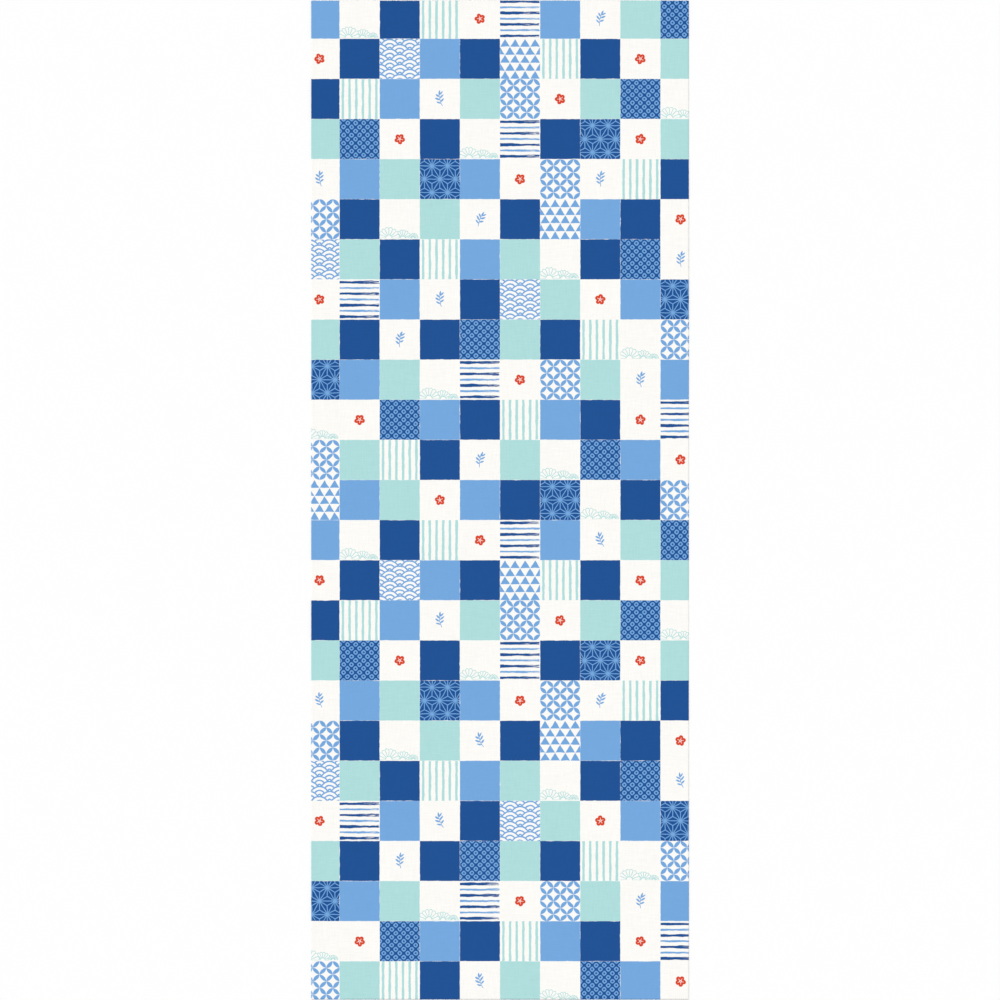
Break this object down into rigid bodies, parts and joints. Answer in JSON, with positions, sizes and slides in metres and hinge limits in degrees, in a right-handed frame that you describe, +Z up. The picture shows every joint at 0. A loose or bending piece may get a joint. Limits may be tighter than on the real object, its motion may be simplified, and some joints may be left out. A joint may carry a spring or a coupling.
{
  "type": "tenugui towel",
  "caption": "Long narrow cotton towel laid flat, dyed in a patchwork of blue, mint and white squares, with woven side edges and unhemmed cut ends.",
  "frame": {"origin": "on the surface that the towel lies on, under the middle of the cloth", "axes": "+Y along the length, towards the end that is at the top of the picture; +X along the width, towards the picture's right; +Z up, out of the printed face"},
  "size_m": [0.34, 0.9, 0.0011],
  "materials": {
    "dyed_cotton": "matt plain-weave cotton, dyed navy, mid blue, mint and red on an off-white ground"
  },
  "bodies": {
    "root": {"towel_cloth": "dyed_cotton"}
  },
  "joints": []
}
